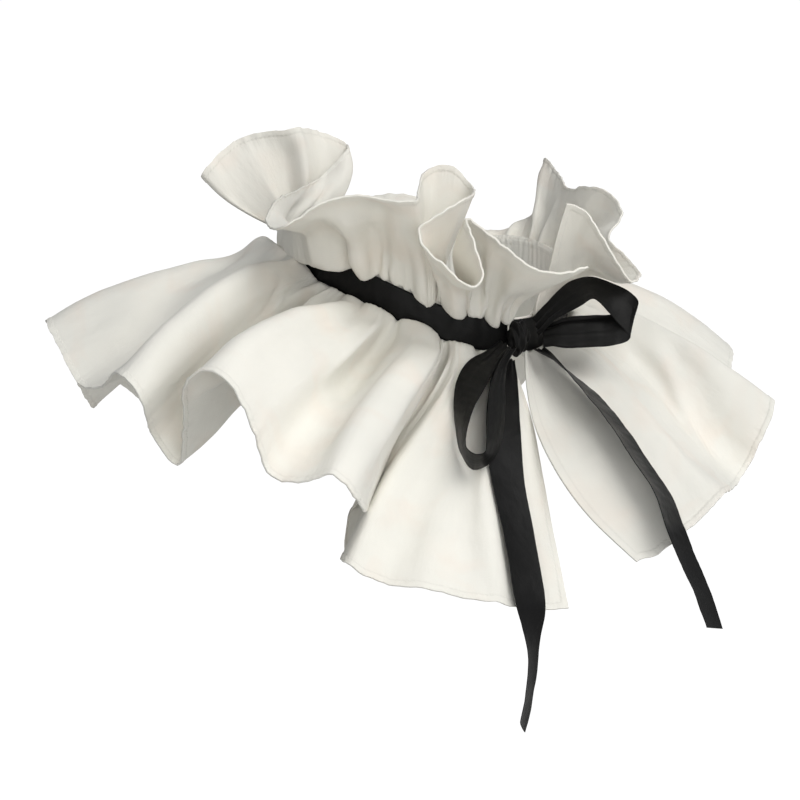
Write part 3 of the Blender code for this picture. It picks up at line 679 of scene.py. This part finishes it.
def cotton_material(name, light, dark, weave=0.62):
    mat, nodes, links, shader = new_material(name)
    shader.inputs["Roughness"].default_value = 0.82
    shader.inputs["Specular IOR Level"].default_value = 0.25
    shader.inputs["Sheen Weight"].default_value = 0.12
    shader.inputs["Sheen Roughness"].default_value = 0.55
    cloth = nodes.new("ShaderNodeAttribute")
    cloth.attribute_name = "cloth"
    parts = nodes.new("ShaderNodeSeparateXYZ")
    links.new(cloth.outputs["Vector"], parts.inputs[0])
    s, l, rim = parts.outputs

    # colour: warm and cool patches of washed cotton, slightly darker threads
    patch = nodes.new("ShaderNodeTexNoise")
    patch.inputs["Scale"].default_value = 0.020
    patch.inputs["Detail"].default_value = 3.0
    links.new(cloth.outputs["Vector"], patch.inputs["Vector"])
    ramp = nodes.new("ShaderNodeValToRGB")
    ramp.color_ramp.elements[0].position = 0.34
    ramp.color_ramp.elements[0].color = (*dark, 1)
    ramp.color_ramp.elements[1].position = 0.62
    ramp.color_ramp.elements[1].color = (*light, 1)
    links.new(patch.outputs["Fac"], ramp.inputs["Fac"])
    warm = nodes.new("ShaderNodeTexNoise")
    warm.inputs["Scale"].default_value = 0.032
    warm.inputs["Detail"].default_value = 2.0
    warm.inputs["Distortion"].default_value = 0.4
    shift = nodes.new("ShaderNodeVectorMath")
    shift.operation = 'ADD'
    shift.inputs[1].default_value = (310, 90, 0)
    links.new(cloth.outputs["Vector"], shift.inputs[0])
    links.new(shift.outputs[0], warm.inputs["Vector"])
    warm_ramp = nodes.new("ShaderNodeValToRGB")
    warm_ramp.color_ramp.elements[0].position = 0.50
    warm_ramp.color_ramp.elements[0].color = (1, 1, 1, 1)
    warm_ramp.color_ramp.elements[1].position = 0.72
    warm_ramp.color_ramp.elements[1].color = (1.0, 0.962, 0.945, 1)
    links.new(warm.outputs["Fac"], warm_ramp.inputs["Fac"])
    tint = nodes.new("ShaderNodeMix")
    tint.data_type = 'RGBA'
    tint.blend_type = 'MULTIPLY'
    tint.inputs["Factor"].default_value = 1.0
    links.new(ramp.outputs["Color"], tint.inputs["A"])
    links.new(warm_ramp.outputs["Color"], tint.inputs["B"])

    # weave: threads both ways, each a little uneven
    uneven = nodes.new("ShaderNodeTexNoise")
    uneven.inputs["Scale"].default_value = 0.35
    uneven.inputs["Detail"].default_value = 2.0
    links.new(cloth.outputs["Vector"], uneven.inputs["Vector"])
    wobble = maths(nodes, links, 'MULTIPLY', uneven.outputs["Fac"], 0.9)
    warp = maths(nodes, links, 'SINE', maths(nodes, links, 'MULTIPLY',
                 maths(nodes, links, 'ADD', s, wobble), 2 * math.pi / weave))
    weft = maths(nodes, links, 'SINE', maths(nodes, links, 'MULTIPLY',
                 maths(nodes, links, 'ADD', l, wobble), 2 * math.pi / weave))
    plain = maths(nodes, links, 'MULTIPLY', warp, weft)
    rib = maths(nodes, links, 'MULTIPLY', weft, 0.6)
    threads = maths(nodes, links, 'ADD', plain, rib)

    # stitches of the hem: short thread lengths in a shallow groove
    near = maths(nodes, links, 'SUBTRACT', rim, HEM * 1000 - 0.35)
    groove = maths(nodes, links, 'MULTIPLY', maths(nodes, links, 'MULTIPLY', near, near), -9.0)
    groove = maths(nodes, links, 'EXPONENT', groove)
    along = maths(nodes, links, 'ADD', s, l)
    step = maths(nodes, links, 'SINE', maths(nodes, links, 'MULTIPLY', along, 2 * math.pi / 2.3))
    stitch = maths(nodes, links, 'MULTIPLY', groove, maths(nodes, links, 'MULTIPLY', step, 0.5))
    # puckers across the hem
    streak = nodes.new("ShaderNodeTexNoise")
    streak.inputs["Scale"].default_value = 1.0
    streak.inputs["Detail"].default_value = 2.0
    stretch = nodes.new("ShaderNodeVectorMath")
    stretch.operation = 'MULTIPLY'
    stretch.inputs[1].default_value = (0.32, 0.045, 0.0)
    links.new(cloth.outputs["Vector"], stretch.inputs[0])
    links.new(stretch.outputs[0], streak.inputs["Vector"])
    reach = maths(nodes, links, 'EXPONENT', maths(nodes, links, 'MULTIPLY', rim, -0.16))
    puck = maths(nodes, links, 'MULTIPLY', maths(nodes, links, 'SUBTRACT', streak.outputs["Fac"], 0.5), reach)

    # soft small creases everywhere
    crumple = nodes.new("ShaderNodeTexNoise")
    crumple.inputs["Scale"].default_value = 0.11
    crumple.inputs["Detail"].default_value = 4.0
    crumple.inputs["Roughness"].default_value = 0.52
    lie = nodes.new("ShaderNodeVectorMath")
    lie.operation = 'MULTIPLY'
    lie.inputs[1].default_value = (1.0, 0.45, 0.0)
    links.new(cloth.outputs["Vector"], lie.inputs[0])
    links.new(lie.outputs[0], crumple.inputs["Vector"])

    height = maths(nodes, links, 'MULTIPLY', threads, 0.030)
    height = maths(nodes, links, 'ADD', height, maths(nodes, links, 'MULTIPLY', stitch, 0.30))
    height = maths(nodes, links, 'ADD', height, maths(nodes, links, 'MULTIPLY', puck, 1.1))
    height = maths(nodes, links, 'ADD', height, maths(nodes, links, 'MULTIPLY', crumple.outputs["Fac"], 1.1))
    bump = nodes.new("ShaderNodeBump")
    bump.inputs["Strength"].default_value = 0.55
    bump.inputs["Distance"].default_value = 0.001
    links.new(height, bump.inputs["Height"])
    links.new(bump.outputs["Normal"], shader.inputs["Normal"])

    # threads also show as a slight change of colour, and the hem's stitch groove is painted a little darker as
    # painted shade
    shade = maths(nodes, links, 'ADD', maths(nodes, links, 'MULTIPLY', threads, 0.012), 0.985)
    # painted shade: darker along the shallow stitch groove of the hem
    shade = maths(nodes, links, 'SUBTRACT', shade, maths(nodes, links, 'MULTIPLY', groove, 0.05))
    grey = nodes.new("ShaderNodeCombineColor")
    for i in range(3):
        links.new(shade, grey.inputs[i])
    final = nodes.new("ShaderNodeMix")
    final.data_type = 'RGBA'
    final.blend_type = 'MULTIPLY'
    final.inputs["Factor"].default_value = 1.0
    links.new(tint.outputs["Result"], final.inputs["A"])
    links.new(grey.outputs["Color"], final.inputs["B"])
    links.new(final.outputs["Result"], shader.inputs["Base Color"])
    return mat


def satin_material(name, colour, sheen_tint=0.0):
    mat, nodes, links, shader = new_material(name)
    shader.inputs["Specular IOR Level"].default_value = 0.17
    shader.inputs["Anisotropic"].default_value = 0.35
    shader.inputs["Sheen Weight"].default_value = 0.02
    shader.inputs["Sheen Roughness"].default_value = 0.35
    cloth = nodes.new("ShaderNodeAttribute")
    cloth.attribute_name = "cloth"
    parts = nodes.new("ShaderNodeSeparateXYZ")
    links.new(cloth.outputs["Vector"], parts.inputs[0])
    s, w, rim = parts.outputs
    blotch = nodes.new("ShaderNodeTexNoise")
    blotch.inputs["Scale"].default_value = 0.09
    blotch.inputs["Detail"].default_value = 3.0
    links.new(cloth.outputs["Vector"], blotch.inputs["Vector"])
    rough = nodes.new("ShaderNodeMapRange")
    rough.inputs["To Min"].default_value = 0.36
    rough.inputs["To Max"].default_value = 0.56
    links.new(blotch.outputs["Fac"], rough.inputs["Value"])
    links.new(rough.outputs["Result"], shader.inputs["Roughness"])
    ramp = nodes.new("ShaderNodeValToRGB")
    ramp.color_ramp.elements[0].position = 0.3
    ramp.color_ramp.elements[0].color = (*[c * 0.80 for c in colour], 1)
    ramp.color_ramp.elements[1].position = 0.7
    ramp.color_ramp.elements[1].color = (*[c * 1.20 for c in colour], 1)
    links.new(blotch.outputs["Fac"], ramp.inputs["Fac"])
    links.new(ramp.outputs["Color"], shader.inputs["Base Color"])
    rib = maths(nodes, links, 'SINE', maths(nodes, links, 'MULTIPLY', s, 2 * math.pi / 0.42))
    edge = maths(nodes, links, 'EXPONENT', maths(nodes, links, 'MULTIPLY', rim, -2.6))
    crush = nodes.new("ShaderNodeTexNoise")
    crush.inputs["Scale"].default_value = 0.16
    crush.inputs["Detail"].default_value = 3.0
    links.new(cloth.outputs["Vector"], crush.inputs["Vector"])
    height = maths(nodes, links, 'MULTIPLY', rib, 0.016)
    height = maths(nodes, links, 'ADD', height, maths(nodes, links, 'MULTIPLY', edge, 0.10))
    height = maths(nodes, links, 'ADD', height, maths(nodes, links, 'MULTIPLY', crush.outputs["Fac"], 0.55))
    bump = nodes.new("ShaderNodeBump")
    bump.inputs["Strength"].default_value = 0.6
    bump.inputs["Distance"].default_value = 0.001
    links.new(height, bump.inputs["Height"])
    links.new(bump.outputs["Normal"], shader.inputs["Normal"])
    return mat


cotton = cotton_material("white_cotton_cape", (0.875, 0.86, 0.80), (0.83, 0.82, 0.765))
# the frill's copy of the same cotton is a shade lighter than the cape's: painted light on the frill
cotton_frill_painted_lighter = cotton_material("white_cotton_frill_painted_lighter", (0.885, 0.865, 0.80), (0.845, 0.83, 0.77))
satin = satin_material("black_satin_ribbon", (0.0040, 0.0040, 0.0039))
# the tails get a lighter, bluer copy of the same black satin: a painted sheen where the tails catch the light
satin_tail_painted_sheen = satin_material("black_satin_tail_painted_sheen", (0.0044, 0.0044, 0.0047))

# ------------------------------------------------------------------ cloth pieces
cape = Ruffle(CAPE_FOLDS, -CAPE_FROM_RING, BAND_OUT, cape_first_rise, CAPE_LENGTH, 1, 1)
frill = Ruffle(FRILL_FOLDS, FRILL_FROM_RING, BAND_OUT, frill_first_rise, FRILL_HEIGHT, -1, -1)
CAPE_ROWS = np.concatenate([
    [-0.0040, -0.0020], np.linspace(0, 0.012, 13), np.linspace(0.0135, 0.036, 14),
    np.linspace(0.039, CAPE_LENGTH - 0.0085, 28),
    CAPE_LENGTH - np.array([.0065, .0048, .0038, .0033, .0029, .0024, .0014, .0006, .0002, 0])])
FRILL_ROWS = np.concatenate([
    [-0.0040, -0.0020], np.linspace(0, 0.012, 13), np.linspace(0.0135, 0.026, 8),
    np.linspace(0.0285, FRILL_HEIGHT - 0.0085, 12),
    FRILL_HEIGHT - np.array([.0065, .0048, .0038, .0033, .0029, .0024, .0014, .0006, .0002, 0])])
cape_obj = ruffle_piece("cape_cloth", cape, CAPE_PUFFS, CAPE_CREASES, 0.00235, CAPE_ROWS,
                        (11, 12, 13, 130), cotton)
frill_obj = ruffle_piece("frill_cloth", frill, FRILL_PUFFS, FRILL_CREASES, 0.00175, FRILL_ROWS,
                         (21, 22, 23, 70), cotton_frill_painted_lighter)

# the gathered neck edge under the ribbon, seen from inside
angles = np.linspace(3, 357, 720)
heights = np.linspace(-1, 1, 15)
gather = ripple(angles[:, None] / 2.6, heights[None, :] * 0.12, 31, 2)
wave = 0.00042 * gather * (1 - 0.35 * np.abs(heights[None, :]))
band = np.stack([ring(angles, BAND_OUT, h * BAND_HALF_HEIGHT) for h in heights], 1)
band = band + aim(angles, 0.0)[:, None, :] * (wave - 0.0002)[..., None]
run = np.broadcast_to((angles * 1.235)[:, None], wave.shape)
band_coords = np.stack([run, np.broadcast_to(heights[None, :] * 8.6 + 20, wave.shape),
                        np.broadcast_to(8.6 - np.abs(heights[None, :]) * 8.6, wave.shape) + 0.4], -1)
band_obj = shell("neckband_cloth", band, 0.0006, band_coords, cotton, -1)


# ------------------------------------------------------------------ ribbon pieces
def columns(table, names):
    return {n: np.array([row[i] for row in table], dtype=float)
            for i, n in enumerate(names) if i}


def ribbon_coords(length, rows, across, seed):
    s = np.broadcast_to((np.linspace(0, length, rows) * 1000 + seed)[:, None], (rows, len(across)))
    w = np.broadcast_to((across * 8)[None, :], s.shape)
    return np.stack([s, w, 8 - np.abs(w)], -1)


ACROSS = np.array([-1, -.97, -.9, -.78, -.62, -.45, -.28, -.1, .1, .28, .45, .62, .78, .9, .97, 1])


def ribbon_piece(name, middle, wide, width, length, mat, seed, pleat_at=(), cup=0.0005, outer=1):
    """A ribbon from its middle line, the direction across it and its width.
    pleat_at: (share along, reach share, depth mm) of lengthwise folds at the knot."""
    n = len(middle)
    wide = unit(wide)
    grid = middle[:, None, :] + ACROSS[None, :, None] * wide[:, None, :] * width[:, None, None] / 2
    nor = normals(grid, outer)
    u = np.linspace(0, 1, n)[:, None]
    x = ACROSS[None, :]
    h = cup * (1 - x ** 2) * np.ones_like(u)
    h = h + 0.00018 * ripple(u * length / 0.016, x * 0.25, seed)
    for share, reach, depth in pleat_at:
        fade = np.exp(-((u - share) / reach) ** 2)
        folds = np.sin(x * 2 * math.pi * 1.35 + seed) * 0.7 + np.sin(x * 2 * math.pi * 2.3 + 2 * seed) * 0.3
        h = h + depth / 1000 * fade * folds
    grid = grid + nor * h[..., None]
    return shell(name, grid, SATIN, ribbon_coords(length, n, ACROSS, seed * 40), mat, outer)


def loop_line(table, count):
    c = columns(table, BOW_COLUMNS)
    knots = np.column_stack([np.stack([c["x"], c["y"], c["z"]], 1) / 1000,
                             aim(c["heading"], c["rise"]), c["width"] / 1000])
    fine, run = curve(knots)
    line = sample(fine, run, np.linspace(0, run[-1], count))
    return line[:, :3], line[:, 3:6], np.maximum(line[:, 6], 0.0125), run[-1]


CAD_ACROSS = np.array([0, .08, .18, .32, .48, .66, .84, 1.0])
plain_at = np.linspace(0, cape.cut, 130)
plain_cape, _ = cape.base(plain_at, CAD_ACROSS * CAPE_LENGTH)


def panel_at(edge, down):
    """A point of the cape, with its direction along the hem and its outer normal."""
    def point(e, d):
        a = float(np.clip(e / cape.cut * 129, 0, 128.999))
        i = int(a)
        row = plain_cape[i] * (1 - (a - i)) + plain_cape[i + 1] * (a - i)
        return np.array([np.interp(d, CAD_ACROSS, row[:, k]) for k in range(3)])
    here = point(edge, down)
    hemward = point(edge, min(down + 0.04, 1.0)) - point(edge, max(down - 0.04, 0.0))
    along = unit(point(edge + 0.006, down) - point(edge - 0.006, down))
    return here, along, unit(np.cross(along, hemward))


def tail_line(table, from_left, count):
    knots = []
    for place, edge, down, off, roll, hang, aside, width in table:
        e = cape.cut - edge / 1000 if from_left else edge / 1000
        here, along, normal = panel_at(e, down)
        turn = math.radians(roll)
        wide = along * math.cos(turn) + normal * math.sin(turn)
        spot = here + normal * off / 1000 + np.array([aside / 1000, 0, -hang / 1000])
        knots.append([*spot, *wide, width / 1000])
    fine, run = curve(np.array(knots))
    line = sample(fine, run, np.linspace(0, run[-1], count))
    return line[:, :3], line[:, 3:6], line[:, 6], run[-1]


ribbon_angles = np.linspace(1.5, 358.5, 570)
fan = np.linspace(-1, 1, 13)
pressed = 0.00028 * ripple(ribbon_angles[:, None] / 9.0, fan[None, :] * 0.3, 41, 3)
ribbon = np.stack([ring(ribbon_angles, RIBBON_OUT, h * RIBBON_WIDTH / 2) for h in fan], 1)
ribbon = ribbon + aim(ribbon_angles, 0.0)[:, None, :] * (pressed + 0.00025 * (1 - fan[None, :] ** 2))[..., None]
RIBBON_BAND_LENGTH = float(np.linalg.norm(np.diff(ribbon[:, 6], axis=0), axis=1).sum())
coords = ribbon_coords(RIBBON_BAND_LENGTH, 570, fan, 3)
ribbon_obj = shell("ribbon_band_cloth", ribbon, SATIN, coords, satin, -1)

mid, wide, width, RIGHT_LOOP_LENGTH = loop_line(RIGHT_LOOP, 240)
right_loop_obj = ribbon_piece("bow_loop_left_side_cloth", mid, wide, width, RIGHT_LOOP_LENGTH, satin, 5,
                              ((0.0, 0.16, 1.0), (1.0, 0.24, 1.3)))
mid, wide, width, LEFT_LOOP_LENGTH = loop_line(LEFT_LOOP, 320)
left_loop_obj = ribbon_piece("bow_loop_right_side_cloth", mid, wide, width, LEFT_LOOP_LENGTH, satin, 7,
                             ((0.0, 0.12, 1.1), (1.0, 0.14, 1.1)))
mid, wide, width, RIGHT_TAIL_LENGTH = tail_line(RIGHT_SIDE_TAIL, False, 300)
tail_a_obj = ribbon_piece("ribbon_tail_right_side_cloth", mid, wide, width, RIGHT_TAIL_LENGTH, satin_tail_painted_sheen, 9,
                          ((0.0, 0.10, 1.0),))
mid, wide, width, LEFT_TAIL_LENGTH = tail_line(LEFT_SIDE_TAIL, True, 280)
tail_b_obj = ribbon_piece("ribbon_tail_left_side_cloth", mid, wide, width, LEFT_TAIL_LENGTH, satin_tail_painted_sheen, 11,
                          ((0.0, 0.10, 1.0),))

# the knot: ribbon wound tight over the roots of the loops, with the folds it is crushed into
turns, steps = 120, 64
th = np.linspace(0, 2 * math.pi, turns, endpoint=False)[:, None]
ph = np.linspace(0.001, math.pi - 0.001, steps)[None, :]
nx, nz, ny = np.sin(ph) * np.cos(th), np.cos(ph) + 0 * th, np.sin(ph) * np.sin(th)
lean = 0.55
a = nx * math.cos(lean) + nz * math.sin(lean)
b = -nx * math.sin(lean) + nz * math.cos(lean)
folds = 0.00055 * np.sin(a * 9.5 + 2.2 * b + 0.6) + 0.00030 * np.sin(a * 17 - 3 * b)
wrap = np.exp(-((a + 0.15) / 0.42) ** 2) * 0.0009
size = 1 + (folds + wrap - 0.0004) / 0.0055
local = np.stack([nx * KNOT_HALF[0] * size, ny * KNOT_HALF[1] * size, nz * KNOT_HALF[2] * size], -1)
turn = math.radians(14)
world = np.stack([local[..., 0] * math.cos(turn) + local[..., 2] * math.sin(turn), local[..., 1],
                  -local[..., 0] * math.sin(turn) + local[..., 2] * math.cos(turn)], -1)
world = world + ring(np.array(0.0), KNOT_OUT, 0.0)
k = np.arange(turns * steps).reshape(turns, steps)
nxt = np.roll(k, -1, axis=0)
quads = np.stack([k[:, :-1], k[:, 1:], nxt[:, 1:], nxt[:, :-1]], -1).reshape(-1, 4)
knot_mesh = bpy.data.meshes.new("bow_knot_cloth")
caps = [k[:, 0].tolist(), k[::-1, -1].tolist()]
knot_mesh.from_pydata(world.reshape(-1, 3).tolist(), [], quads.tolist() + caps)
knot_mesh.polygons.foreach_set("use_smooth", np.ones(len(knot_mesh.polygons), dtype=bool))
at = knot_mesh.attributes.new("cloth", 'FLOAT_VECTOR', 'POINT')
at.data.foreach_set("vector", np.stack([b * 8, a * 7, 4 + 0 * a], -1).reshape(-1, 3).astype(np.float32).ravel())
knot_mesh.materials.append(satin)
knot_mesh.validate()
knot_obj = bpy.data.objects.new("bow_knot_cloth", knot_mesh)
bpy.context.scene.collection.objects.link(knot_obj)

# ------------------------------------------------------------------ frame
COTTON_PIECES = ((cape_obj, "cape"), (frill_obj, "frill"), (band_obj, "neckband"))
SATIN_PIECES = ((ribbon_obj, "ribbon_band"), (knot_obj, "bow_knot"),
                (right_loop_obj, "bow_loop_left_side"), (left_loop_obj, "bow_loop_right_side"),
                (tail_a_obj, "ribbon_tail_right_side"), (tail_b_obj, "ribbon_tail_left_side"))
for piece, node in COTTON_PIECES + SATIN_PIECES:
    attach(piece, "root")
    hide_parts(node)

# ------------------------------------------------------------------ stage and light
FLOOR_Z = -0.36


def stage_material():
    mat, nodes, links, shader = new_material("pale_floor")
    shader.inputs["Base Color"].default_value = (0.62, 0.62, 0.61, 1)
    shader.inputs["Roughness"].default_value = 0.9
    grain = nodes.new("ShaderNodeTexNoise")
    grain.inputs["Scale"].default_value = 9.0
    bump = nodes.new("ShaderNodeBump")
    bump.inputs["Strength"].default_value = 0.02
    links.new(grain.outputs["Fac"], bump.inputs["Height"])
    links.new(bump.outputs["Normal"], shader.inputs["Normal"])
    glow = nodes.new("ShaderNodeEmission")
    glow.inputs["Color"].default_value = (1.0, 1.0, 1.0, 1)
    glow.inputs["Strength"].default_value = 1.12
    path = nodes.new("ShaderNodeLightPath")
    blend = nodes.new("ShaderNodeMixShader")
    seen = maths(nodes, links, 'MULTIPLY', path.outputs["Is Camera Ray"], 0.93)
    links.new(seen, blend.inputs["Fac"])
    links.new(shader.outputs[0], blend.inputs[1])
    links.new(glow.outputs[0], blend.inputs[2])
    links.new(blend.outputs[0], nodes["Material Output"].inputs["Surface"])
    return mat


floor_mesh = bpy.data.meshes.new("floor")
R = 14.0
floor_mesh.from_pydata([(-R, -R, FLOOR_Z), (R, -R, FLOOR_Z), (R, R, FLOOR_Z), (-R, R, FLOOR_Z)], [], [(0, 1, 2, 3)])
floor_mesh.materials.append(stage_material())
floor = bpy.data.objects.new("floor", floor_mesh)
bpy.context.scene.collection.objects.link(floor)

world_tree = bpy.data.worlds.new("studio")
bpy.context.scene.world = world_tree
world_tree.use_nodes = True
wn, wl = world_tree.node_tree.nodes, world_tree.node_tree.links
sky = wn["Background"]
sky.inputs["Color"].default_value = (0.97, 0.985, 1.0, 1)
# a soft room: brighter to the picture's right and in front than behind on the left
facing = wn.new("ShaderNodeTexCoord")
towards = wn.new("ShaderNodeVectorMath")
towards.operation = 'DOT_PRODUCT'
towards.inputs[1].default_value = right * 0.15 + back * 0.12
wl.new(facing.outputs["Generated"], towards.inputs[0])
room = wn.new("ShaderNodeMath")
room.operation = 'ADD'
room.inputs[1].default_value = 0.41
wl.new(towards.outputs["Value"], room.inputs[0])
wl.new(room.outputs[0], sky.inputs["Strength"])
white = wn.new("ShaderNodeBackground")
white.inputs["Color"].default_value = (1, 1, 1, 1)
white.inputs["Strength"].default_value = 1.02
path = wn.new("ShaderNodeLightPath")
mix = wn.new("ShaderNodeMixShader")
wl.new(path.outputs["Is Camera Ray"], mix.inputs["Fac"])
wl.new(sky.outputs[0], mix.inputs[1])
wl.new(white.outputs[0], mix.inputs[2])
wl.new(mix.outputs[0], wn["World Output"].inputs["Surface"])


def area_light(name, place, size, power, colour=(1, 1, 1), target=(0, -0.02, -0.04)):
    data = bpy.data.lights.new(name, 'AREA')
    data.shape = 'DISK'
    data.size = size
    data.energy = power
    data.color = colour
    obj = bpy.data.objects.new(name, data)
    bpy.context.scene.collection.objects.link(obj)
    place = right * place[0] + up * place[1] + back * place[2]
    obj.location = place
    obj.rotation_euler = (place - Vector(target)).to_track_quat('Z', 'Y').to_euler()
    return obj


area_light("key", (0.72, 1.12, 0.96), 1.20, 14.0, (1.0, 0.985, 0.955))
area_light("soft_front", (0.30, -0.20, 1.4), 0.9, 4.6, (1.0, 0.985, 0.965))
scene = bpy.context.scene
scene.view_settings.view_transform = 'Standard'
scene.view_settings.look = 'None'
scene.view_settings.exposure = 0.0
scene.view_settings.gamma = 1.0
